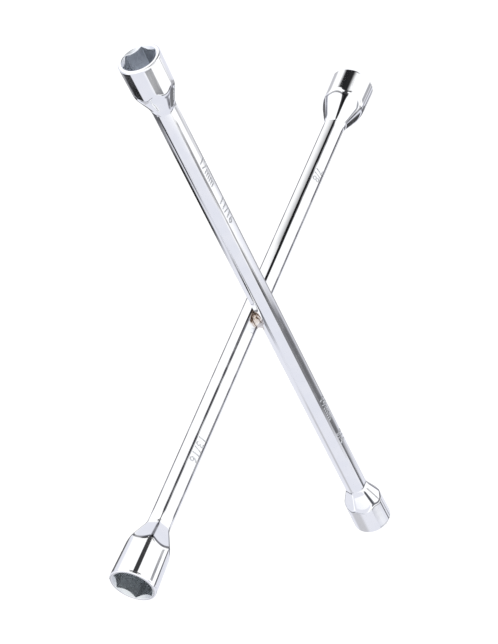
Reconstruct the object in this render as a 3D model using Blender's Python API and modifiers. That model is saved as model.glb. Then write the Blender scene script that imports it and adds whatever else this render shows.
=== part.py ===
"""Four-way lug wrench: two forged hexagonal bars, crossed at right angles and
welded where they touch, with a round-walled hexagonal socket at each of the
four ends.

Frame: metres, +Z up. The wrench lies flat. The upper bar runs along X and the
lower bar along Y, each centred on the origin along its own length. Z is zero at
the lowest point of the lower bar's sockets. The bars are welded a few
millimetres off their middles, so each has one slightly longer arm.
"""

from collections import namedtuple
import math

import bmesh
import bpy
from mathutils import Matrix

MM = 0.001

# ---- driving dimensions ---------------------------------------------------
HALF_LENGTH = 203.0 * MM          # half of either bar, mouth to mouth
CROSSING = (6.0 * MM, -4.5 * MM)  # where the two axes cross, seen from above
SHANK_FLATS = 13.3 * MM           # hexagonal bar, across flats
SHANK_EDGE_RADIUS = 1.0 * MM      # rolled edges of the hexagonal bar
NECK_SLOPE = math.radians(22.5)   # flare from the bar's flats to the barrel
NECK_BLEND = 14.0 * MM            # concave radius where the flare leaves the bar
MOUTH_EDGE_RADIUS = 0.8 * MM      # rounded outer edge of a socket mouth
HEXAGON_TURN = math.radians(15.0)  # socket hexagon's first corner, about the bar's axis
LEAD_IN_OVERSIZE = 0.15 * MM      # lead-in cone at the face, past the hexagon's corners
TOUCH_GAP = 0.3 * MM              # clearance kept between pieces that touch

# end: which end of the bar, -1 or 1. flats: hexagon across flats. mouth and root:
# outside diameter of the barrel at its open end and at the neck. barrel: length of
# the round wall. depth: how far the hexagon goes in.
Socket = namedtuple("Socket", "end flats mouth root barrel depth")
UPPER_SOCKETS = (
    Socket(-1, 17.6 * MM, 24.8 * MM, 23.8 * MM, 25.5 * MM, 21.0 * MM),
    Socket(1, 19.2 * MM, 25.0 * MM, 24.2 * MM, 24.5 * MM, 20.0 * MM),
)
LOWER_SOCKETS = (
    Socket(-1, 21.1 * MM, 27.8 * MM, 25.6 * MM, 29.0 * MM, 24.0 * MM),
    Socket(1, 22.4 * MM, 28.6 * MM, 27.6 * MM, 25.5 * MM, 22.0 * MM),
)

# Weld fillet in each corner of the crossing: how far it spreads along each bar,
# where it meets the bar above and the bar below.
FILLET_ON_UPPER = (9.5 * MM, 7.0 * MM)
FILLET_ON_LOWER = (7.4 * MM, 9.5 * MM)
FILLET_TOP_DROP = 3.0 * MM        # top of the fillet, below the upper bar's axis
FILLET_FOOT_RISE = 2.0 * MM       # foot of the fillet, above the lower bar's axis
FILLET_CORNER = 3.0 * MM          # rounding of the fillet's outer corner

# ---- smoothness -----------------------------------------------------------
ROUND_STEPS = 48
HEXAGON_STEPS = 6
ARC_STEPS = 6
EDGE_STEPS = 3

# ---- worked out from the dimensions ---------------------------------------
COS30 = math.cos(math.radians(30.0))
SHANK_APOTHEM = SHANK_FLATS / 2.0
SHANK_CORNER = SHANK_APOTHEM / COS30 - SHANK_EDGE_RADIUS * (1.0 / COS30 - 1.0)
LOWER_AXIS_Z = max(socket.mouth for socket in LOWER_SOCKETS) / 2.0
UPPER_AXIS_Z = LOWER_AXIS_Z + SHANK_CORNER + TOUCH_GAP + SHANK_APOTHEM
OVERRUN = 5.0 * MM                # how far a cutting shape runs past the piece

# The local Z axis of a bar, laid along the world's X or Y.
ALONG_X = Matrix.Rotation(math.radians(90.0), 4, "Y")
ALONG_Y = Matrix.Rotation(math.radians(-90.0), 4, "X")


# ---- scene helpers --------------------------------------------------------
def clear_scene():
    for obj in list(bpy.data.objects):
        bpy.data.objects.remove(obj, do_unlink=True)


def add_collection(name):
    collection = bpy.data.collections.new(name)
    bpy.context.scene.collection.children.link(collection)
    return collection


def add_material(name, color, metallic, roughness):
    material = bpy.data.materials.new(name)
    material.use_nodes = True
    shader = material.node_tree.nodes["Principled BSDF"]
    shader.inputs["Base Color"].default_value = (*color, 1.0)
    shader.inputs["Metallic"].default_value = metallic
    shader.inputs["Roughness"].default_value = roughness
    material.diffuse_color = (*color, 1.0)
    return material


def add_object(name, mesh, collection):
    obj = bpy.data.objects.new(name, mesh)
    collection.objects.link(obj)
    return obj


def make_cutter(obj):
    obj.hide_render = True
    obj.display_type = "WIRE"


def cut(obj, other, operation):
    boolean = obj.modifiers.new(f"{operation.title()} {other.name}", "BOOLEAN")
    boolean.operation = operation
    boolean.solver = "EXACT"
    boolean.object = other


def turned(name, profile, steps, start_angle, placement, collection):
    """A solid turned about its local Z axis, from (radius, height) points.

    The points run from top to bottom. With six steps the same profile gives a
    hexagonal solid, whose first corner stands at start_angle.
    """
    cosine = math.cos(start_angle)
    sine = math.sin(start_angle)
    points = [(radius * cosine, radius * sine, height) for radius, height in profile]
    edges = [(index, index + 1) for index in range(len(points) - 1)]
    mesh = bpy.data.meshes.new(name)
    mesh.from_pydata(points, edges, [])
    obj = add_object(name, mesh, collection)
    obj.matrix_world = placement
    screw = obj.modifiers.new("Turn", "SCREW")
    screw.axis = "Z"
    screw.steps = steps
    screw.render_steps = steps
    screw.use_merge_vertices = True
    screw.merge_threshold = 0.00001
    screw.use_smooth_shade = steps > HEXAGON_STEPS
    return obj


def one_end(points, end):
    """Points given from the mouth inwards, set at either end of a bar's axis."""
    placed = [(radius, end * (HALF_LENGTH - depth)) for radius, depth in points]
    return placed if end > 0 else placed[::-1]


# ---- profiles, each from a socket's mouth inwards -------------------------
def flared_hexagon_profile(socket):
    """Corner radius of the hexagonal flare, which the barrel's round wall trims."""
    corner_at_root = socket.root / 2.0
    slope = math.tan(NECK_SLOPE)
    bend_depth = socket.barrel + (corner_at_root * COS30 - SHANK_APOTHEM) / slope
    tangent = NECK_BLEND * math.tan(NECK_SLOPE / 2.0)
    widest = socket.mouth / 2.0 + OVERRUN
    widest_depth = bend_depth - (widest - SHANK_APOTHEM) / slope
    points = [(0.0, -OVERRUN), (widest / COS30, -OVERRUN), (widest / COS30, widest_depth)]
    for step in range(ARC_STEPS, -1, -1):
        angle = NECK_SLOPE * step / ARC_STEPS
        apothem = SHANK_APOTHEM + NECK_BLEND * (1.0 - math.cos(angle))
        depth = bend_depth + tangent - NECK_BLEND * math.sin(angle)
        points.append((apothem / COS30, depth))
    return points


def barrel_profile(socket):
    """The round wall: rounded mouth edge, tapered barrel, then clear of the bar."""
    mouth_radius = socket.mouth / 2.0
    root_radius = socket.root / 2.0
    points = [(0.0, 0.0)]
    for step in range(ARC_STEPS + 1):
        angle = math.pi / 2.0 * step / ARC_STEPS
        radius = mouth_radius - MOUTH_EDGE_RADIUS * (1.0 - math.sin(angle))
        depth = MOUTH_EDGE_RADIUS * (1.0 - math.cos(angle))
        points.append((radius, depth))
    points.append((root_radius, socket.barrel))
    points.append((root_radius, 2.0 * socket.barrel))
    return points


def lead_in_profile(socket):
    """A 45 degree cone that opens the hexagon's mouth past its corners."""
    face_radius = socket.flats / 2.0 / COS30 + LEAD_IN_OVERSIZE
    outer_radius = face_radius + OVERRUN
    return [(0.0, -OVERRUN), (outer_radius, -OVERRUN), (0.0, face_radius)]


def hexagon_profile(socket):
    corner = socket.flats / 2.0 / COS30
    return [(0.0, -OVERRUN), (corner, -OVERRUN), (corner, socket.depth),
            (0.0, socket.depth)]


# ---- pieces ---------------------------------------------------------------
def add_bar(name, sockets, placement, material, parts, cutters):
    """A hexagonal bar that flares at both ends into round-walled sockets."""
    lower_end, upper_end = sockets
    corner_angle = math.radians(30.0)
    hexagonal = one_end(flared_hexagon_profile(upper_end), 1)
    hexagonal += one_end(flared_hexagon_profile(lower_end), -1)
    bar = turned(name, hexagonal, HEXAGON_STEPS, corner_angle, placement, parts)
    rolled = bar.modifiers.new("Rolled edges", "BEVEL")
    rolled.limit_method = "ANGLE"
    rolled.angle_limit = math.radians(45.0)
    rolled.width = SHANK_EDGE_RADIUS * math.tan(math.radians(30.0))
    rolled.segments = EDGE_STEPS

    round_wall = one_end(barrel_profile(upper_end), 1)
    round_wall += one_end(barrel_profile(lower_end), -1)
    wall = turned(f"{name}_wall", round_wall, ROUND_STEPS, 0.0, placement, cutters)
    make_cutter(wall)
    cut(bar, wall, "INTERSECT")

    for socket in sockets:
        size = round(socket.flats / MM)
        inside = one_end(hexagon_profile(socket), socket.end)
        hexagon = turned(f"hexagon_{size}", inside, HEXAGON_STEPS, HEXAGON_TURN,
                         placement, cutters)
        cone = one_end(lead_in_profile(socket), socket.end)
        lead_in = turned(f"lead_in_{size}", cone, ROUND_STEPS, 0.0, placement, cutters)
        for cutter in (hexagon, lead_in):
            make_cutter(cutter)
            cut(bar, cutter, "DIFFERENCE")
    bar.data.materials.append(material)
    return bar


def add_bar_clearance(name, placement, cutters):
    """A length of bar, grown by the touching gap, that trims the weld fillets."""
    corner = (SHANK_APOTHEM + TOUCH_GAP) / COS30
    reach = 4.0 * SHANK_FLATS
    profile = [(0.0, reach), (corner, reach), (corner, -reach), (0.0, -reach)]
    clearance = turned(name, profile, HEXAGON_STEPS, math.radians(30.0), placement, cutters)
    make_cutter(clearance)
    return clearance


def add_weld_fillet(name, side_x, side_y, clearances, material, parts):
    """A tapered lump in one corner of the crossing, trimmed to both bars."""
    top = UPPER_AXIS_Z - FILLET_TOP_DROP
    foot = LOWER_AXIS_Z + FILLET_FOOT_RISE
    inner = TOUCH_GAP / 2.0
    lump = bmesh.new()
    bmesh.ops.create_cube(lump, size=1.0)
    for corner in lump.verts:
        spread = FILLET_ON_UPPER if corner.co.z > 0.0 else FILLET_ON_LOWER
        reach_x = spread[0] if corner.co.x * side_x > 0.0 else inner
        reach_y = spread[1] if corner.co.y * side_y > 0.0 else inner
        corner.co.x = side_x * reach_x
        corner.co.y = side_y * reach_y
        corner.co.z = top if corner.co.z > 0.0 else foot
    outer_edges = [edge for edge in lump.edges if all(
        abs(end.co.x) > 2.0 * inner and abs(end.co.y) > 2.0 * inner for end in edge.verts)]
    upright_edges = [edge for edge in outer_edges
                     if abs(edge.verts[0].co.z - edge.verts[1].co.z) > inner]
    bmesh.ops.bevel(lump, geom=upright_edges, offset=FILLET_CORNER, segments=EDGE_STEPS,
                    profile=0.5, affect="EDGES")
    bmesh.ops.recalc_face_normals(lump, faces=lump.faces)
    mesh = bpy.data.meshes.new(name)
    lump.to_mesh(mesh)
    lump.free()
    fillet = add_object(name, mesh, parts)
    fillet.location = (*CROSSING, 0.0)
    for clearance in clearances:
        cut(fillet, clearance, "DIFFERENCE")
    fillet.data.materials.append(material)
    return fillet


# ---- assembly -------------------------------------------------------------
def build():
    clear_scene()
    parts = add_collection("lug_wrench")
    cutters = add_collection("cutters")
    frame = add_object("wrench_frame", None, parts)

    upper_chrome = add_material("upper_bar_chrome", (0.84, 0.85, 0.88), 1.0, 0.08)
    lower_chrome = add_material("lower_bar_chrome", (0.86, 0.86, 0.88), 1.0, 0.08)
    upper_place = Matrix.Translation((0.0, CROSSING[1], UPPER_AXIS_Z)) @ ALONG_X
    lower_place = Matrix.Translation((CROSSING[0], 0.0, LOWER_AXIS_Z)) @ ALONG_Y
    upper_bar = add_bar("upper_bar", UPPER_SOCKETS, upper_place, upper_chrome, parts,
                        cutters)
    lower_bar = add_bar("lower_bar", LOWER_SOCKETS, lower_place, lower_chrome, parts,
                        cutters)

    clearances = (
        add_bar_clearance("upper_clearance", upper_place, cutters),
        add_bar_clearance("lower_clearance", lower_place, cutters),
    )
    fillets = []
    for side_x, along in ((-1, "left"), (1, "right")):
        for side_y, across in ((-1, "front"), (1, "back")):
            name = f"weld_fillet_{across}_{along}"
            tint = add_material(f"{name}_steel", (0.62, 0.50, 0.40), 1.0, 0.3)
            fillets.append(add_weld_fillet(name, side_x, side_y, clearances, tint, parts))

    for piece in (upper_bar, lower_bar, *fillets):
        piece.parent = frame


build()
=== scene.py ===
"""Looks of the four-way lug wrench: chrome-plated forged bars, welded at the crossing."""

from collections import namedtuple
import math

import bpy
import numpy as np
from mathutils import Matrix, Vector


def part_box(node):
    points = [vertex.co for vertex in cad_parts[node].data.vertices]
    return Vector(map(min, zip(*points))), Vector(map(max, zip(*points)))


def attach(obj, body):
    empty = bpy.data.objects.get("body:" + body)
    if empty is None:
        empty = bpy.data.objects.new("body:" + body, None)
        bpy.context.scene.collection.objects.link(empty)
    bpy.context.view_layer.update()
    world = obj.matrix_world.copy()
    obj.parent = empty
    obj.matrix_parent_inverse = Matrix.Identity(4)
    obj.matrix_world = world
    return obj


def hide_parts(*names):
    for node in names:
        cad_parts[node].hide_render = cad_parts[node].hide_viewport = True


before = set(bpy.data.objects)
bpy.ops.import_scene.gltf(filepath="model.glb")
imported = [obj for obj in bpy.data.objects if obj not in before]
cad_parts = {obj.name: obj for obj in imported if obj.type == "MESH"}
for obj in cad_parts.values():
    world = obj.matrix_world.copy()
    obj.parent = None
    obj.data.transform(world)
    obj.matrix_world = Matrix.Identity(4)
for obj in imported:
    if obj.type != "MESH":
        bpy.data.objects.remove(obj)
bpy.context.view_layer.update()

MM = 0.001

# ---- dimensions, in metres ------------------------------------------------
SHANK_APOTHEM = 6.65 * MM        # half of the hexagonal bar's flats
FACE_CROWN = 46.0 * MM           # the flats are slightly crowned by polishing
SHANK_EDGE = 1.2 * MM            # softness of the bar's edges
NECK_SLOPE = math.radians(22.5)
NECK_BLEND = 14.0 * MM
NECK_REACH = 24.0 * MM           # this far past the barrel's end the bar is plain
NECK_SOFTENING = 1.0 * MM        # how much softer than its rim a neck's edges are at the barrel
MOUTH_EDGE = 0.8 * MM            # rounding of a mouth's outer edge
BORE_EDGE = 0.35 * MM            # softness of the socket hexagon's corners
BORE_CROWN = 1000.0 * MM         # the hexagon's walls are flat, to the eye
BORE_TURN = math.radians(15.0)   # the hexagon's first corner, about the bar's axis
LEAD_IN = 0.15 * MM              # lead-in cone at the face, past the hexagon's corners
LEAD_IN_EDGE = 0.3 * MM
FLOOR_EDGE = 0.8 * MM            # rounding round the bottom of a socket
COS30 = math.cos(math.radians(30.0))
SIXTH = math.radians(60.0)

# Painted reflections: dark lines painted on the crisp edges, standing in for the dark reflections along
# them. A line's width is the softness given to closeness().
PAINTED_LINE = 0.8 * MM
CORNER_LINE = 1.4 * PAINTED_LINE    # between two of a neck's flats
RIM_LINE = 0.6 * PAINTED_LINE       # where a neck's flat meets the barrel
LOWER_LINE = 1.6 * PAINTED_LINE     # on the plain lower bar
UPPER_LINE = 1.2 * PAINTED_LINE     # on the plain upper bar
TOP_PAINTED_LINE, SIDE_PAINTED_LINE = 0.6, 0.3   # how dark the upper bar's lines are, beside its top flat or not
BESIDE_TOP = 0.5                 # the cosine from the top that divides the two
UPPER_LINES_END = 10.0 * MM       # place along the upper bar where its lines have ended,
UPPER_LINES_FADE = 30.0 * MM      # after fading over this length
BAR_LINES_START = 10.0 * MM       # the plain bar's lines start this far inside the neck's end
BAR_LINES_FADE = 6.0 * MM
CRISP_REACH = math.radians(40.0)  # a crisp flat's lines reach this far round the bar
CRISP_FADE = math.radians(6.0)
LINE_START = 8.0                 # a neck's corner lines are full after 1/8 of its widening

# Spacing of the bar meshes' rings and of the points round each ring.
TURN_STEP, FINE_TURN_STEP = 2.0, 0.5         # degrees
EDGE_SPAN, BORE_SPAN = 8.0, 4.0              # degrees with fine steps each side of a corner
RING_OFFSET = 0.4 * MM                       # clear of an edge's own rings
BARREL_STEP = 1.0 * MM
NECK_STEP = 0.25 * MM
NECK_RINGS_LEAD = 6.0 * MM                   # the neck's steps start this far up the barrel
LEAD_IN_STEP = 0.12 * MM
BORE_RINGS = 12                              # between the floor's edge and the lead-in
LIP_STEP = 0.06 * MM                         # the flat face starts this far outside the lead-in
INSIDE_FROM = 0.05 * MM                      # rings deeper than this belong to the inside
FLOOR_SHARES = (0.25, 0.6, 0.85)             # rings on a socket's floor, of its radius
FACE_SHARES = (0.0, 0.15, 0.5, 1.0)          # rings across the flat face of a mouth
FLOOR_TURNS = np.radians((0.0, 30.0, 60.0, 90.0))
MOUTH_TURNS = np.radians(np.arange(11.25, 90.1, 11.25))
PLAIN_RINGS = np.arange(-140.0, 140.1, 5.0) * MM

# end: which end of the bar. flats: hexagon across flats. mouth, root: outside diameter
# of the barrel at its open end and at the neck. barrel: its length. depth: the hexagon's.
# blend: softness where the neck's flats meet the barrel. crisp: degrees round the bar of the neck's
# flats whose edges get painted dark reflection lines; the others have no line.
Socket = namedtuple("Socket", "end flats mouth root barrel depth blend crisp")
UPPER_SOCKETS = (
    Socket(-1, 17.6 * MM, 24.8 * MM, 23.8 * MM, 25.5 * MM, 21.0 * MM, 1.2 * MM, (0.0,)),
    Socket(1, 19.2 * MM, 25.0 * MM, 24.2 * MM, 24.5 * MM, 20.0 * MM, 0.8 * MM, (0.0,)),
)
LOWER_SOCKETS = (
    Socket(-1, 21.1 * MM, 27.8 * MM, 25.6 * MM, 29.0 * MM, 24.0 * MM, 0.7 * MM, (30.0, 90.0)),
    Socket(1, 22.4 * MM, 28.6 * MM, 27.6 * MM, 25.5 * MM, 22.0 * MM, 1.6 * MM, (90.0, 330.0)),
)


def centre(node):
    low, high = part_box(node)
    return (low + high) / 2.0


UPPER_CENTRE = centre("upper_bar")
LOWER_CENTRE = centre("lower_bar")
HALF_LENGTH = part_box("upper_bar")[1].x
CROSSING = Vector((LOWER_CENTRE.x, UPPER_CENTRE.y, (UPPER_CENTRE.z + LOWER_CENTRE.z) / 2.0))

# Each bar's own axes in the row frame: along it and to its side. Its section lies in the
# side axis and UP. Angles about a bar start at UP and turn towards the side axis.
Bar = namedtuple("Bar", "name centre along side first_flat sockets")
UPPER = Bar("upper_bar", UPPER_CENTRE, Vector((1, 0, 0)), Vector((0, -1, 0)), 0.0, UPPER_SOCKETS)
LOWER = Bar("lower_bar", LOWER_CENTRE, Vector((0, 1, 0)), Vector((-1, 0, 0)), SIXTH / 2.0,
            LOWER_SOCKETS)
UP = Vector((0, 0, 1))

# One ring of a bar's mesh: its place along the bar, its radius at each angle, whether it is inside a
# socket, and the strength of the painted dark reflection line at each angle.
Ring = namedtuple("Ring", "place radius inside line")


# ---- shape formulas ---------------------------------------------------------
def closeness(a, b, width):
    """One where two surfaces meet, zero where they are a width apart."""
    return np.maximum(width - np.abs(a - b), 0.0) / width


def smooth_min(a, b, width):
    """The smaller of two, blended where they are less than a width apart."""
    overlap = closeness(a, b, width)
    return np.minimum(a, b) - overlap * overlap * width / 4.0


def smooth_max(a, b, width):
    return -smooth_min(-a, -b, width)


def flats(angle, apothem, first_flat, crown):
    """Distance from the axis to the nearest and the next flat, slightly crowned."""
    turn = (angle - first_flat + SIXTH / 2.0) % SIXTH - SIXTH / 2.0
    inset = crown - apothem
    return [np.sqrt(crown**2 - (inset * np.sin(off)) ** 2) - inset * np.cos(off)
            for off in (np.abs(turn), SIXTH - np.abs(turn))]


def hexagon(angle, apothem, first_flat, edge, crown):
    """Distance from the axis to a soft-edged hexagon."""
    nearest, following = flats(angle, apothem, first_flat, crown)
    return smooth_min(nearest, following, edge)


def neck_apothem(depth, socket):
    """Apothem of the flaring hexagon at a depth from the mouth."""
    slope = math.tan(NECK_SLOPE)
    bend = socket.barrel + (socket.root / 2.0 * COS30 - SHANK_APOTHEM) / slope
    start = bend + NECK_BLEND * math.tan(NECK_SLOPE / 2.0)
    arc_length = NECK_BLEND * math.sin(NECK_SLOPE)
    along_arc = np.clip(start - depth, 0.0, arc_length)
    arc = NECK_BLEND - np.sqrt(NECK_BLEND**2 - along_arc**2)
    straight = np.maximum(start - arc_length - depth, 0.0) * slope
    return SHANK_APOTHEM + arc + straight


def crispness(angle, socket):
    """One over the socket's crisp flats and their edges, zero elsewhere."""
    share = np.zeros_like(angle)
    for flat in np.radians(socket.crisp):
        turn = np.abs((angle - flat + math.pi) % (2.0 * math.pi) - math.pi)
        share = np.maximum(share, np.clip((CRISP_REACH - turn) / CRISP_FADE, 0.0, 1.0))
    return share


def outer_wall(angle, depth, socket, first_flat):
    """Radius of the flaring bar trimmed by the round barrel, and the strength of its painted dark
    reflection line.
    """
    apothem = neck_apothem(depth, socket)
    widening = np.clip((apothem - SHANK_APOTHEM) / (socket.root / 2.0 - SHANK_APOTHEM), 0.0, 1.0)
    softness = SHANK_EDGE + (socket.blend + NECK_SOFTENING - SHANK_EDGE) * widening
    nearest, following = flats(angle, apothem, first_flat, FACE_CROWN)
    facets = smooth_min(nearest, following, softness)
    share = np.clip(depth / socket.barrel, 0.0, 1.0)
    barrel = (socket.mouth + (socket.root - socket.mouth) * share) / 2.0
    started = np.clip(widening * LINE_START, 0.0, 1.0)
    corner = closeness(nearest, following, CORNER_LINE) * (facets < barrel) * started
    rim = closeness(facets, barrel, RIM_LINE)
    line = np.maximum(corner, rim) * crispness(angle, socket)
    return smooth_min(facets, barrel, socket.blend), line


def shank_painted_lines(angle, place, bar):
    """Painted dark reflection lines of the plain bar: all along the lower bar, on the -X half of the
    upper one.
    """
    nearest, following = flats(angle, SHANK_APOTHEM, bar.first_flat, FACE_CROWN)
    if bar is LOWER:
        return closeness(nearest, following, LOWER_LINE)
    fade = np.clip((UPPER_LINES_END - place) / UPPER_LINES_FADE, 0.0, 1.0)
    strength = np.where(np.cos(angle) > BESIDE_TOP, TOP_PAINTED_LINE, SIDE_PAINTED_LINE)
    return closeness(nearest, following, UPPER_LINE) * strength * fade


def fine_turns(corner, span):
    """Degrees round a bar, in fine steps on both sides of a corner."""
    return list(corner + np.arange(-span, span + FINE_TURN_STEP / 2.0, FINE_TURN_STEP))


def around(first_flat):
    """Angles round a bar, closest together at the edges of its flats and of the hexagons."""
    angles = list(np.arange(0.0, 360.0, TURN_STEP))
    for corner in np.arange(math.degrees(first_flat) + 30.0, 390.0, 60.0):
        angles += fine_turns(corner, EDGE_SPAN)
    for corner in np.arange(math.degrees(BORE_TURN), 375.0, 60.0):
        angles += fine_turns(corner, BORE_SPAN)
    return np.radians(np.unique(np.round(np.array(angles) % 360.0, 3)))


# The next two functions give rings whose place is still a depth from the socket's mouth.
def inside_rings(socket, angle):
    """From the middle of the socket's floor, out of the mouth, to the outer wall."""
    found = []
    no_line = np.zeros_like(angle)
    corner = socket.flats / 2.0 / COS30
    bore = hexagon(angle, socket.flats / 2.0, BORE_TURN - SIXTH / 2.0, BORE_EDGE, BORE_CROWN)
    for share in FLOOR_SHARES:
        found.append(Ring(socket.depth, bore * share, True, no_line))
    for turn in FLOOR_TURNS:
        inset = FLOOR_EDGE * (1.0 - math.sin(turn))
        depth = socket.depth - FLOOR_EDGE * (1.0 - math.cos(turn))
        found.append(Ring(depth, bore - inset, True, no_line))
    cone_depth = corner + LEAD_IN - socket.flats / 2.0 + RING_OFFSET
    depths = list(np.linspace(socket.depth - FLOOR_EDGE - MM, cone_depth + MM, BORE_RINGS))
    depths += list(np.arange(cone_depth, 0.0, -LEAD_IN_STEP))
    for depth in depths:
        cone = corner + LEAD_IN - depth
        wall = smooth_max(bore, np.full_like(bore, cone), LEAD_IN_EDGE)
        found.append(Ring(depth, wall, depth > INSIDE_FROM, no_line))
    lip = np.full_like(bore, corner + LEAD_IN)
    wall = np.full_like(bore, socket.mouth / 2.0 - MOUTH_EDGE)
    for share in FACE_SHARES:
        found.append(Ring(0.0, lip + LIP_STEP + (wall - lip - LIP_STEP) * share, False, no_line))
    for turn in MOUTH_TURNS:
        depth = MOUTH_EDGE * (1.0 - math.cos(turn))
        found.append(Ring(depth, wall + MOUTH_EDGE * math.sin(turn), False, no_line))
    return found


def outside_rings(socket, angle, bar):
    """Along the outer wall, from the mouth to the plain bar."""
    neck_end = socket.barrel + NECK_REACH
    neck_rings = socket.barrel - NECK_RINGS_LEAD
    depths = list(np.arange(MOUTH_EDGE + RING_OFFSET, neck_rings, BARREL_STEP))
    depths += list(np.arange(neck_rings, neck_end, NECK_STEP))
    found = []
    for depth in depths:
        radius, line = outer_wall(angle, depth, socket, bar.first_flat)
        # painted reflection: the plain bar's dark edge lines, fading in past the neck
        plain_bar_lines = shank_painted_lines(angle, socket.end * (HALF_LENGTH - depth), bar)
        beyond_neck = np.clip((depth - neck_end + BAR_LINES_START) / BAR_LINES_FADE, 0.0, 1.0)
        found.append(Ring(depth, radius, False, np.maximum(line, plain_bar_lines * beyond_neck)))
    return found


def bar_rings(bar, angle):
    """All the rings of a bar, from the one socket's floor to the other's."""
    ends = []
    for socket in bar.sockets:
        rings = inside_rings(socket, angle) + outside_rings(socket, angle, bar)
        ends.append([ring._replace(place=socket.end * (HALF_LENGTH - ring.place)) for ring in rings])
    low, high = ends
    plain = hexagon(angle, SHANK_APOTHEM, bar.first_flat, SHANK_EDGE, FACE_CROWN)
    middle = [Ring(place, plain, False, shank_painted_lines(angle, place, bar)) for place in PLAIN_RINGS]
    return low + middle + high[::-1]


def bar_mesh(bar):
    """One closed skin: outer wall, both mouths and both socket hexagons."""
    angle = around(bar.first_flat)
    rings = bar_rings(bar, angle)
    count = len(angle)
    cosine, sine = np.cos(angle), np.sin(angle)
    centre_point, along, side, up = (np.array(v) for v in (bar.centre, bar.along, bar.side, UP))
    loops = []
    for ring in rings:
        loops.append(centre_point + ring.place * along + (ring.radius * sine)[:, None] * side
                     + (ring.radius * cosine)[:, None] * up)
    floors = [centre_point + ring.place * along for ring in (rings[0], rings[-1])]
    vertices = np.concatenate(loops + [np.array(floors)])
    faces, inside = [], []
    following = [(index + 1) % count for index in range(count)]
    for number in range(len(rings) - 1):
        base, top = number * count, (number + 1) * count
        in_socket = rings[number].inside and rings[number + 1].inside
        for index, after in enumerate(following):
            faces.append((base + index, base + after, top + after, top + index))
            inside.append(in_socket)
    last = (len(rings) - 1) * count
    first_floor, last_floor = len(vertices) - 2, len(vertices) - 1
    for index, after in enumerate(following):
        faces.append((first_floor, after, index))
        faces.append((last_floor, last + index, last + after))
        inside += [True, True]
    mesh = bpy.data.meshes.new(f"{bar.name}_skin")
    mesh.from_pydata(vertices.tolist(), [], faces)
    mesh.polygons.foreach_set("material_index", [int(flag) for flag in inside])
    mesh.polygons.foreach_set("use_smooth", [True] * len(faces))
    edge = mesh.attributes.new("edge", "FLOAT", "POINT")
    edge.data.foreach_set("value", np.concatenate([ring.line for ring in rings] + [np.zeros(2)]))
    mesh.update()
    return mesh


# ---- materials ----------------------------------------------------------------
class Nodes:
    """Short calls for building a node tree."""

    def __init__(self, tree):
        self.tree = tree

    def add(self, kind):
        return self.tree.nodes.new(kind)

    def put(self, socket, value):
        if isinstance(value, bpy.types.NodeSocket):
            self.tree.links.new(value, socket)
        else:
            socket.default_value = value

    def math(self, operation, a, b=0.0, c=0.0):
        node = self.add("ShaderNodeMath")
        node.operation = operation
        for socket, value in zip(node.inputs, (a, b, c)):
            self.put(socket, value)
        return node.outputs[0]

    def dot(self, a, b):
        node = self.add("ShaderNodeVectorMath")
        node.operation = "DOT_PRODUCT"
        self.put(node.inputs[0], a)
        self.put(node.inputs[1], b)
        return node.outputs["Value"]

    def ramp(self, value, low, high, to_low=0.0, to_high=1.0):
        """A smooth step from one value to another, as the input goes from low to high."""
        node = self.add("ShaderNodeMapRange")
        node.interpolation_type = "SMOOTHSTEP"
        for name, item in (("Value", value), ("From Min", low), ("From Max", high),
                           ("To Min", to_low), ("To Max", to_high)):
            self.put(node.inputs[name], item)
        return node.outputs["Result"]

    def mix(self, factor, a, b):
        node = self.add("ShaderNodeMix")
        node.data_type = "RGBA"
        for index, value in ((0, factor), (6, a), (7, b)):
            self.put(node.inputs[index], value)
        return node.outputs[2]

    def scaled(self, vector, scale):
        """A place with each of its axes scaled by its own number."""
        node = self.add("ShaderNodeMapping")
        self.put(node.inputs["Vector"], vector)
        node.inputs["Scale"].default_value = scale
        return node.outputs[0]

    def noise(self, vector, scale, detail=2.0, roughness=0.5):
        node = self.add("ShaderNodeTexNoise")
        self.put(node.inputs["Vector"], vector)
        node.inputs["Scale"].default_value = scale
        node.inputs["Detail"].default_value = detail
        node.inputs["Roughness"].default_value = roughness
        return node.outputs[0]

    def bump(self, height, distance, strength, normal=None):
        node = self.add("ShaderNodeBump")
        self.put(node.inputs["Height"], height)
        node.inputs["Distance"].default_value = distance
        node.inputs["Strength"].default_value = strength
        if normal is not None:
            self.put(node.inputs["Normal"], normal)
        return node.outputs[0]

    def position(self):
        """The place on the object, in metres in the row frame."""
        return self.add("ShaderNodeTexCoord").outputs["Object"]

    def attribute(self, name):
        node = self.add("ShaderNodeAttribute")
        node.attribute_name = name
        return node.outputs["Fac"]

    def openness(self, reach):
        """One on an open surface, lower deep in a gap between pieces."""
        node = self.add("ShaderNodeAmbientOcclusion")
        node.inputs["Distance"].default_value = reach
        return node.outputs["AO"]

    def distance_to(self, position, point):
        node = self.add("ShaderNodeVectorMath")
        node.operation = "DISTANCE"
        self.put(node.inputs[0], position)
        node.inputs[1].default_value = point
        return node.outputs["Value"]


# Colours of the plate, of what heat did to it, and of the painted reflections and painted shade on it.
# Noise scales are per metre, and where there are two, they are the scale across the bar and the scale
# along it.
CHROME_CLOUDY = (0.87, 0.88, 0.905, 1.0)
CHROME_CLEAR = (0.90, 0.905, 0.92, 1.0)
# painted reflection: the dark colour of the lines painted along the crisp edges, for the dark
# reflections seen there
PAINTED_EDGE_REFLECTION = (0.10, 0.10, 0.115, 1.0)
WELD_PLATE = (0.88, 0.88, 0.89, 1.0)
# painted shade: black put into the crevices beside the weld
CREVICE_SHADE = (0.015, 0.014, 0.016, 1.0)
STRAW = (0.86, 0.78, 0.64, 1.0)
BROWN = (0.36, 0.20, 0.10, 1.0)
MARK_DARK = (0.48, 0.49, 0.51, 1.0)
MARK_LIGHT = (0.66, 0.67, 0.69, 1.0)
UPPER_BORE = (0.86, 0.89, 0.94, 1.0)
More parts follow.
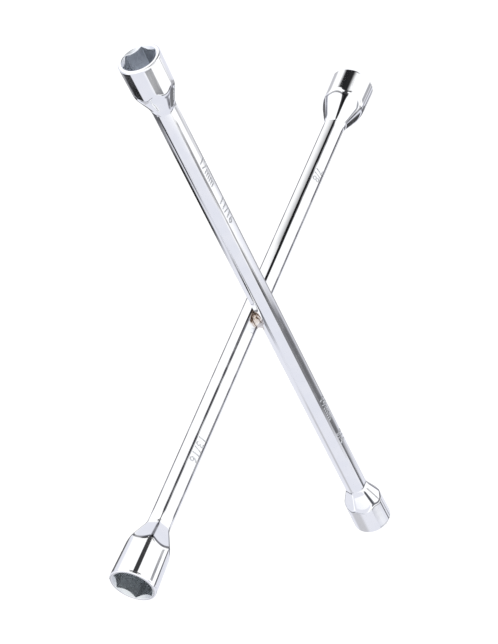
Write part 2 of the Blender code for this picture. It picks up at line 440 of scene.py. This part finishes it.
# painted shade: the lower bar's socket plate is given a darker tone than the upper's, for the shade
# inside its sockets
LOWER_BORE_SHADED = (0.70, 0.73, 0.75, 1.0)
BORE_DULLER = (0.9, 0.9, 0.9, 1.0)       # a socket's blotches, against the rest of it

CLOUD_SCALE = 90.0                       # slight cloudiness of the plate
LINE_SCALE = (5200.0, 40.0)              # polishing lines
PIT_SCALE = 900.0
WAVE_SCALE = (130.0, 45.0)               # forging waves
STREAK_SCALE = (2400.0, 60.0)            # streaks inside a socket
BLOTCH_SCALE = 240.0                     # inside a socket
RIPPLE_SCALE = 900.0                     # on the weld
WELD_CLOUD_SCALE = 330.0                 # on the weld
GRAIN_SCALE = 2600.0                     # on the size marks

HEAT_NEAR, HEAT_FAR = 9.0 * MM, 12.0 * MM    # from the crossing, full heat tint and none
HEAT_WANDER = 6.0 * MM                       # how unevenly it ends
HEAT_WANDER_SCALE = 260.0
CREVICE_REACH = 7.0 * MM                     # how far a crevice is looked for

# Heights of the bumps, in metres.
WAVE_BUMP = 0.00003
FINE_BUMP = 0.0000006
SATIN_BUMP = 0.00002
WELD_BUMP = 0.00008


def browned_and_crevice_shaded(nodes, tint, heat):
    """The tint turned brown beside the weld's crevice, as heat tint, and black inside it, as painted
    shade.
    """
    openness = nodes.openness(CREVICE_REACH)
    brown = nodes.math("MULTIPLY", nodes.ramp(openness, 0.64, 0.80, 0.85, 0.0), heat)
    # painted shade: black where the crevice is deep
    painted_shade = nodes.math("MULTIPLY", nodes.ramp(openness, 0.52, 0.70, 1.0, 0.0), heat)
    return nodes.mix(painted_shade, nodes.mix(brown, tint, BROWN), CREVICE_SHADE)


def new_material(name):
    """A new material, its Principled shader and the calls that build its nodes."""
    material = bpy.data.materials.new(name)
    material.use_nodes = True
    shader = material.node_tree.nodes["Principled BSDF"]
    return material, shader, Nodes(material.node_tree)


def stretched(nodes, place, along, scale, detail):
    """A noise with one scale across a bar and another along it."""
    across, lengthwise = scale
    axes = tuple(lengthwise if abs(part) > 0.5 else across for part in along)
    return nodes.noise(nodes.scaled(place, axes), 1.0, detail)


def chrome(bar):
    """Bright plate: faint polishing lines along the bar, slight cloudiness, soft forging waves."""
    material, shader, nodes = new_material(f"{bar.name}_chrome")
    place = nodes.position()
    clouds = nodes.noise(place, CLOUD_SCALE, 3.0)
    lines = stretched(nodes, place, bar.along, LINE_SCALE, 2.0)
    pits = nodes.noise(place, PIT_SCALE, 4.0, 0.7)
    tint = nodes.mix(nodes.ramp(clouds, 0.35, 0.65), CHROME_CLOUDY, CHROME_CLEAR)
    weld_distance = nodes.distance_to(place, CROSSING)
    uneven = nodes.noise(place, HEAT_WANDER_SCALE, 2.0)
    wander = nodes.math("MULTIPLY_ADD", uneven, HEAT_WANDER, weld_distance)
    heat = nodes.ramp(wander, HEAT_NEAR, HEAT_FAR, 1.0, 0.0)
    # painted reflection: the edge attribute darkens the plate to dark lines along the crisp edges
    painted_edge_lines = nodes.math("MULTIPLY", nodes.ramp(nodes.attribute("edge"), 0.1, 0.7),
                      nodes.ramp(clouds, 0.3, 0.6, 0.6, 0.95))
    tint = nodes.mix(painted_edge_lines, tint, PAINTED_EDGE_REFLECTION)
    tint = nodes.mix(nodes.math("MULTIPLY", heat, 0.15), tint, STRAW)
    # heat-tint brown and painted black shade go into the crevice beside the weld
    nodes.put(shader.inputs["Base Color"], browned_and_crevice_shaded(nodes, tint, heat))
    shader.inputs["Metallic"].default_value = 1.0
    gloss = nodes.ramp(clouds, 0.3, 0.7, 0.035, 0.075)
    gloss = nodes.math("MULTIPLY_ADD", nodes.ramp(lines, 0.55, 0.8), 0.08, gloss)
    nodes.put(shader.inputs["Roughness"], nodes.math("MULTIPLY_ADD", heat, 0.06, gloss))
    waves = nodes.bump(stretched(nodes, place, bar.along, WAVE_SCALE, 1.0), WAVE_BUMP, 1.0)
    grain = nodes.math("ADD", lines, nodes.math("MULTIPLY", pits, 0.4))
    nodes.put(shader.inputs["Normal"], nodes.bump(grain, FINE_BUMP, 1.0, waves))
    return material


def socket_satin(bar, tone):
    """Inside the sockets: thin grey plate over broached steel, duller; darker on the lower bar as
    painted shade.
    """
    material, shader, nodes = new_material(f"{bar.name}_socket_satin")
    place = nodes.position()
    streaks = stretched(nodes, place, bar.along, STREAK_SCALE, 3.0)
    blotches = nodes.noise(place, BLOTCH_SCALE, 4.0)
    dull = tuple(part * share for part, share in zip(tone, BORE_DULLER))
    nodes.put(shader.inputs["Base Color"], nodes.mix(nodes.ramp(blotches, 0.3, 0.7), dull, tone))
    shader.inputs["Metallic"].default_value = 1.0
    nodes.put(shader.inputs["Roughness"], nodes.ramp(streaks, 0.3, 0.7, 0.30, 0.46))
    nodes.put(shader.inputs["Normal"], nodes.bump(streaks, SATIN_BUMP, 0.6))
    return material


def weld_metal():
    """Plated weld run: bright on top, heat tint lower down, painted shade in the crevice."""
    material, shader, nodes = new_material("weld_heat_tint")
    place = nodes.position()
    ripples = nodes.noise(place, RIPPLE_SCALE, 3.0)
    cloud = nodes.noise(place, WELD_CLOUD_SCALE, 2.0)
    tint = nodes.mix(nodes.ramp(cloud, 0.50, 0.75), WELD_PLATE, STRAW)
    tint = nodes.mix(nodes.ramp(ripples, 0.62, 0.75, 0.0, 0.4), tint, BROWN)
    # heat-tint brown and painted black shade go into the crevice
    nodes.put(shader.inputs["Base Color"], browned_and_crevice_shaded(nodes, tint, 1.0))
    shader.inputs["Metallic"].default_value = 1.0
    nodes.put(shader.inputs["Roughness"], nodes.ramp(cloud, 0.3, 0.7, 0.12, 0.28))
    nodes.put(shader.inputs["Normal"], nodes.bump(ripples, WELD_BUMP, 0.6))
    return material


def mark_satin(bar):
    """The raised size marks: the same plate, duller and a little grey."""
    material, shader, nodes = new_material(f"{bar.name}_mark_satin")
    grain = nodes.noise(nodes.position(), GRAIN_SCALE, 3.0)
    tint = nodes.mix(nodes.ramp(grain, 0.35, 0.65), MARK_DARK, MARK_LIGHT)
    nodes.put(shader.inputs["Base Color"], tint)
    shader.inputs["Metallic"].default_value = 1.0
    nodes.put(shader.inputs["Roughness"], nodes.ramp(grain, 0.3, 0.7, 0.22, 0.36))
    nodes.put(shader.inputs["Normal"], nodes.bump(grain, SATIN_BUMP, 0.5))
    return material


# ---- the two bars ---------------------------------------------------------------
def add_piece(name, mesh, materials, slot, *nodes):
    """A visible piece on the one body, in place of the CAD nodes that are named."""
    piece = bpy.data.objects.new(name, mesh)
    bpy.context.scene.collection.objects.link(piece)
    for material in materials:
        mesh.materials.append(material)
    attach(piece, "root")
    if nodes:
        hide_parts(*nodes)
    return piece


mark_finish = {}
# the lower bar's socket tone is darkened as painted shade
for bar, tone in ((UPPER, UPPER_BORE), (LOWER, LOWER_BORE_SHADED)):
    add_piece(f"{bar.name}_skin", bar_mesh(bar), (chrome(bar), socket_satin(bar, tone)), "chrome",
              bar.name)
    mark_finish[bar.name] = mark_satin(bar)


# ---- the weld ---------------------------------------------------------------------
WELD_REACH = 11.5 * MM           # half of the cube that the weld's shape is sampled in
WELD_GRID = 0.3 * MM
WELD_WIDTH = 6.5 * MM            # of the blend between the bars, at the crossing
WELD_SPREAD = 9.5 * MM           # the blend narrows with the distance from the crossing
WELD_START, WELD_LEAST = 1.3, 0.02  # the width's share falls from the one to the other
WELD_SINK = 0.25 * MM            # keeps the run under the bars' own skins
WELD_RIPPLE = 0.07 * MM
RIPPLE_ALONG_X, RIPPLE_ALONG_Y = 2100.0, 1900.0  # radians per metre
RIPPLE_PHASE = 1.3
WELD_TRIM = 1.0 * MM             # a ball this much smaller than the cube ends the run,
WELD_TRIM_EDGE = 0.8 * MM        # with this softness


def bar_distance(points, bar):
    """Roughly the distance from the plain bar's surface, negative inside it."""
    offset = points - np.array(bar.centre)
    across, height = offset @ np.array(bar.side), offset @ np.array(UP)
    angle = np.arctan2(across, height)
    surface = hexagon(angle, SHANK_APOTHEM, bar.first_flat, SHANK_EDGE, FACE_CROWN)
    return np.hypot(across, height) - surface


def shifted(offsets, size):
    """Slices that pick, along each axis, either all but the last or all but the first."""
    return tuple(slice(offset, count - 1 + offset) for offset, count in zip(offsets, size))


def surface_net(field, spacing, corner):
    """A closed mesh of quads where a sampled field crosses zero.

    Each cell that the surface passes through gets one vertex, the mean of where the cell's
    edges cross the surface. Each crossed edge gets one quad, of its four cells' vertices.
    """
    size = field.shape
    cells = tuple(count - 1 for count in size)
    total, weight = np.zeros(cells + (3,)), np.zeros(cells)
    for axis in range(3):
        others = [other for other in range(3) if other != axis]
        for first in (0, 1):
            for second in (0, 1):
                offsets = [0, 0, 0]
                offsets[others[0]], offsets[others[1]] = first, second
                a = field[shifted(offsets, size)]
                offsets[axis] = 1
                b = field[shifted(offsets, size)]
                crossed = (a < 0.0) != (b < 0.0)
                point = np.zeros(cells + (3,))
                point[..., axis] = np.where(crossed, a / np.where(crossed, a - b, 1.0), 0.0)
                point[..., others[0]] = first
                point[..., others[1]] = second
                total += point * crossed[..., None]
                weight += crossed
    used = weight > 0
    index = np.full(cells, -1)
    index[used] = np.arange(used.sum())
    vertices = np.array(corner) + (np.argwhere(used) + total[used] / weight[used][:, None]) * spacing
    faces = []
    for axis in range(3):
        following, last = (axis + 1) % 3, (axis + 2) % 3
        inner = [slice(1, -1)] * 3
        inner[axis] = slice(0, -1)
        beyond = list(inner)
        beyond[axis] = slice(1, None)
        near, far = field[tuple(inner)] < 0.0, field[tuple(beyond)] < 0.0
        for leaving in (True, False):
            spots = np.argwhere((near != far) & (near == leaving))
            ring = []
            for step in ((0, 0), (1, 0), (1, 1), (0, 1)):
                cell = spots.copy()
                cell[:, following] += 1 - step[0]
                cell[:, last] += 1 - step[1]
                ring.append(index[tuple(cell.T)])
            quads = np.stack(ring, axis=1)
            faces += (quads if leaving else quads[:, ::-1]).tolist()
    return vertices, faces


def weld_mesh():
    """The weld run: the part of the two bars' smooth union that fills the corners."""
    steps = np.arange(-WELD_REACH, WELD_REACH + WELD_GRID / 2.0, WELD_GRID)
    local = np.stack(np.meshgrid(steps, steps, steps, indexing="ij"), axis=-1)
    upper, lower = (bar_distance(local + np.array(CROSSING), bar) for bar in (UPPER, LOWER))
    away = np.linalg.norm(local, axis=-1)
    width = WELD_WIDTH * np.clip(WELD_START - (away / WELD_SPREAD) ** 2, WELD_LEAST, 1.0)
    blended = smooth_min(upper, lower, width) + WELD_SINK
    ripple = (np.sin(local[..., 0] * RIPPLE_ALONG_X + RIPPLE_PHASE)
              * np.sin(local[..., 1] * RIPPLE_ALONG_Y))
    ball = away - (WELD_REACH - WELD_TRIM)
    field = smooth_max(blended + WELD_RIPPLE * ripple, ball, WELD_TRIM_EDGE)
    vertices, faces = surface_net(field, WELD_GRID, np.array(CROSSING) - WELD_REACH)
    mesh = bpy.data.meshes.new("weld_run")
    mesh.from_pydata(vertices.tolist(), [], faces)
    mesh.polygons.foreach_set("use_smooth", [True] * len(faces))
    mesh.update()
    return mesh


add_piece("weld_run", weld_mesh(), (weld_metal(),), "weld_steel",
          "weld_fillet_front_left", "weld_fillet_front_right",
          "weld_fillet_back_left", "weld_fillet_back_right")


# ---- raised size marks ---------------------------------------------------------------
MARK_HEIGHT = 5.3 * MM
MARK_RISE = 0.30 * MM            # of the letters' tops above their middle plane
MARK_BEVEL = 0.10 * MM
MARK_SINK = 0.02 * MM            # how far that plane lies under the flat
MARK_SPACING = 1.1               # between letters, as a share of the font's own
CAPITAL_SHARE = 0.7              # height of a figure as a share of the font's size


def add_mark(name, text, bar, flat_angle, position, facing):
    """A size number forged on one flat of a bar, its letters standing along the bar."""
    curve = bpy.data.curves.new(name, "FONT")
    curve.body = text
    curve.size = MARK_HEIGHT / CAPITAL_SHARE
    curve.align_x, curve.align_y = "CENTER", "CENTER"
    curve.extrude = MARK_RISE - MARK_BEVEL
    curve.bevel_depth = MARK_BEVEL
    curve.bevel_resolution = 2
    curve.offset = -MARK_BEVEL
    curve.space_character = MARK_SPACING
    letters = bpy.data.objects.new(name, curve)
    bpy.context.scene.collection.objects.link(letters)
    out = math.sin(flat_angle) * bar.side + math.cos(flat_angle) * UP
    reading = bar.along * facing
    upright = out.cross(reading)
    turn = Matrix((reading, upright, out)).transposed().to_4x4()
    place = bar.centre + position * bar.along + out * (SHANK_APOTHEM - MARK_SINK)
    bpy.context.view_layer.update()
    evaluated = letters.evaluated_get(bpy.context.evaluated_depsgraph_get())
    shape = bpy.data.meshes.new_from_object(evaluated)
    bpy.data.objects.remove(letters)
    shape.transform(Matrix.Translation(place) @ turn)
    shape.name = name
    shape.materials.clear()
    return add_piece(name, shape, (mark_finish[bar.name],), "chrome")


add_mark("size_mark_17_mm", "17mm", UPPER, 0.0, -117.0 * MM, 1)
add_mark("size_mark_11_16", "11/16", UPPER, 0.0, -86.5 * MM, 1)
add_mark("size_mark_19_mm", "19mm", UPPER, 0.0, 89.5 * MM, 1)
add_mark("size_mark_3_4", "3/4", UPPER, 0.0, 117.5 * MM, 1)
add_mark("size_mark_13_16", "13/16", LOWER, SIXTH / 2.0, -108.5 * MM, -1)
add_mark("size_mark_7_8", "7/8", LOWER, SIXTH / 2.0, 115.0 * MM, -1)


# ---- studio ------------------------------------------------------------------------------
# Dark and grey screens in front of the studio's walls. Their places and greys were set to follow the
# reflections in the photograph, so they match that one view. Each is part of a band bent round one of
# the bars. along: the cosines of the angles with that bar that it lies between. around: the degrees
# round the bar that it covers. soft: the softness of its sides, in degrees. shade: 0 is black.
Screen = namedtuple("Screen", "bar along around soft shade")
SCREENS = (
    Screen(UPPER, (0.585, 0.614), (18.0, 56.0), 6.0, 0.27),    # grey, high, near socket
    Screen(UPPER, (0.566, 0.61), (136.0, 182.0), 5.0, 0.02),   # black, low, near socket
    Screen(UPPER, (0.566, 0.583), (176.0, 196.0), 6.0, 0.02),
    Screen(UPPER, (0.54, 0.585), (196.0, 226.0), 8.0, 0.42),
    Screen(UPPER, (0.585, 0.63), (187.0, 250.0), 4.0, 0.02),   # low edge of the near arm
    Screen(UPPER, (0.639, 0.664), (82.0, 174.0), 8.0, 0.0),    # over the weld
    Screen(UPPER, (0.585, 0.70), (-122.0, -57.5), 4.0, 0.45),  # far edge of the top flat
    Screen(UPPER, (0.64, 0.705), (-44.0, 36.0), 6.0, 0.22),    # near edge of its far half
    Screen(UPPER, (0.655, 0.712), (-55.0, -40.0), 7.0, 0.17),  # top flat, far half
    Screen(UPPER, (0.70, 0.75), (-50.0, -41.0), 4.0, 0.15),    # the same near the socket
    Screen(UPPER, (0.69, 0.76), (110.0, 175.0), 25.0, 0.62),
    Screen(LOWER, (0.42, 0.575), (59.0, 81.0), 4.0, 0.05),     # ridge and near socket
    Screen(LOWER, (0.57, 0.63), (40.0, 100.0), 10.0, 0.06),    # ridge, middle
    Screen(LOWER, (0.61, 0.74), (62.0, 122.0), 22.0, 0.02),    # ridge and far socket
    Screen(LOWER, (0.52, 0.545), (-28.0, -12.0), 4.0, 0.33),   # far side of the near socket
    Screen(LOWER, (0.53, 0.648), (-98.0, -68.0), 6.0, 0.08),   # far edge
    Screen(LOWER, (0.64, 0.70), (-52.0, -32.0), 8.0, 0.45),    # far side of the far socket
    Screen(LOWER, (0.42, 0.58), (192.0, 240.0), 10.0, 0.14),   # near edge, near arm
    Screen(LOWER, (0.59, 0.74), (165.0, 200.0), 16.0, 0.60),   # near edge, far arm
    Screen(LOWER, (0.28, 0.46), (-100.0, -76.0), 12.0, 0.06),  # neck of the far socket
    Screen(LOWER, (-0.2, 0.46), (48.0, 92.0), 10.0, 0.06),     # ridge in that neck
    Screen(LOWER, (0.66, 0.95), (50.0, 90.0), 8.0, 0.08),      # ridge in the near neck
    Screen(UPPER, (0.74, 0.83), (-104.0, -66.0), 8.0, 0.20),   # neck of the near socket
)
ALONG_SOFT = 0.02                # softness of a screen's ends, as a cosine
BLUE_CAST = 1.05                 # the screens' blue against their red and green
COOL_WALL = (0.87, 0.88, 0.95, 1.0)
WHITE_WALL = (1.25, 1.25, 1.25, 1.0)
GREY_CEILING = (0.40, 0.41, 0.44, 1.0)


def screen_mask(nodes, ray, screen):
    """One where a ray from the wrench meets the screen, fading at its edges."""
    low, high = screen.along
    fade = ALONG_SOFT / 2.0
    along = nodes.dot(ray, screen.bar.along)
    mask = nodes.math("MULTIPLY", nodes.ramp(along, low - fade, low + fade),
                      nodes.ramp(along, high - fade, high + fade, 1.0, 0.0))
    first, last = (math.radians(angle) for angle in screen.around)
    middle = (first + last) / 2.0
    out = math.sin(middle) * screen.bar.side + math.cos(middle) * UP
    beside = math.cos(middle) * screen.bar.side - math.sin(middle) * UP
    turn = nodes.math("ARCTAN2", nodes.dot(ray, beside), nodes.dot(ray, out))
    turn = nodes.math("ABSOLUTE", turn)
    half, fade = (last - first) / 2.0, math.radians(screen.soft) / 2.0
    return nodes.math("MULTIPLY", mask, nodes.ramp(turn, half - fade, half + fade, 1.0, 0.0))


def build_world():
    """The studio that the chrome mirrors, as colours of the ray's direction from the wrench."""
    world = bpy.data.worlds.new("studio")
    world.use_nodes = True
    bpy.context.scene.world = world
    nodes = Nodes(world.node_tree)
    background = world.node_tree.nodes["Background"]
    ray = nodes.add("ShaderNodeTexCoord").outputs["Generated"]
    x, y, z = (nodes.dot(ray, Vector(axis)) for axis in ((1, 0, 0), (0, 1, 0), (0, 0, 1)))
    high = nodes.math("MAXIMUM", z, 0.0)
    far_side = nodes.ramp(nodes.math("MULTIPLY_ADD", high, -0.4, x), 0.37, 0.48)
    far_end = nodes.ramp(y, 0.72, 0.82)
    near_end = nodes.math("MULTIPLY", nodes.ramp(y, -0.82, -0.72, 1.0, 0.0), nodes.ramp(x, 0.0, 0.1))
    below = nodes.ramp(z, -0.85, -0.75, 1.0, 0.0)
    cool = far_side
    for part in (far_end, near_end, below):
        cool = nodes.math("MAXIMUM", cool, part)
    color = nodes.mix(cool, WHITE_WALL, COOL_WALL)
    ceiling = nodes.math("MULTIPLY", nodes.ramp(z, 0.91, 0.97), nodes.ramp(x, -0.06, -0.01))
    color = nodes.mix(ceiling, color, GREY_CEILING)
    for screen in SCREENS:
        shade = (screen.shade, screen.shade, screen.shade * BLUE_CAST, 1.0)
        color = nodes.mix(screen_mask(nodes, ray, screen), color, shade)
    nodes.put(background.inputs["Color"], color)
    background.inputs["Strength"].default_value = 1.0


FLOOR_REACH = 12.0               # metres
FLOOR_DROP = 1.0 * MM
FLOOR_GLOW = 1.1                 # white, and a little over


def add_floor():
    """A plain white floor that glows evenly and that the chrome doesn't mirror."""
    mesh = bpy.data.meshes.new("floor")
    corners = [(x * FLOOR_REACH, y * FLOOR_REACH, 0.0) for x, y in ((-1, -1), (1, -1), (1, 1), (-1, 1))]
    mesh.from_pydata(corners, [], [(0, 1, 2, 3)])
    floor = bpy.data.objects.new("floor", mesh)
    floor.location.z = -FLOOR_DROP
    bpy.context.scene.collection.objects.link(floor)
    material = bpy.data.materials.new("pale_floor")
    material.use_nodes = True
    nodes = material.node_tree.nodes
    nodes.remove(nodes["Principled BSDF"])
    glow = nodes.new("ShaderNodeEmission")
    glow.inputs["Color"].default_value = (1.0, 1.0, 1.0, 1.0)
    glow.inputs["Strength"].default_value = FLOOR_GLOW
    material.node_tree.links.new(glow.outputs[0], nodes["Material Output"].inputs["Surface"])
    mesh.materials.append(material)
    floor.visible_glossy = False


CAMERA_PLACE = Vector((-0.84419, -0.76084, 0.63007))  # metres
CAMERA_RIGHT = Vector((0.34730, 0.32617, 0.87920))
CAMERA_BACK = Vector((-0.65815, -0.58308, 0.47630))
CAMERA_SENSOR = 36.0             # its height, in millimetres
CAMERA_LENS = 119.65             # in millimetres


def add_camera():
    """A long lens above the near side, rolled so that the frame's +Z leans to the right."""
    right = CAMERA_RIGHT.normalized()
    back = (CAMERA_BACK - right * CAMERA_BACK.dot(right)).normalized()
    camera = bpy.data.cameras.new("camera")
    camera.sensor_fit = "VERTICAL"
    camera.sensor_height = CAMERA_SENSOR
    camera.lens = CAMERA_LENS
    camera.clip_start = 0.05
    holder = bpy.data.objects.new("camera", camera)
    bpy.context.scene.collection.objects.link(holder)
    turn = Matrix((right, back.cross(right), back)).transposed().to_4x4()
    holder.matrix_world = Matrix.Translation(CAMERA_PLACE) @ turn
    bpy.context.scene.camera = holder


build_world()
add_floor()
add_camera()
bpy.context.scene.view_settings.view_transform = "Standard"
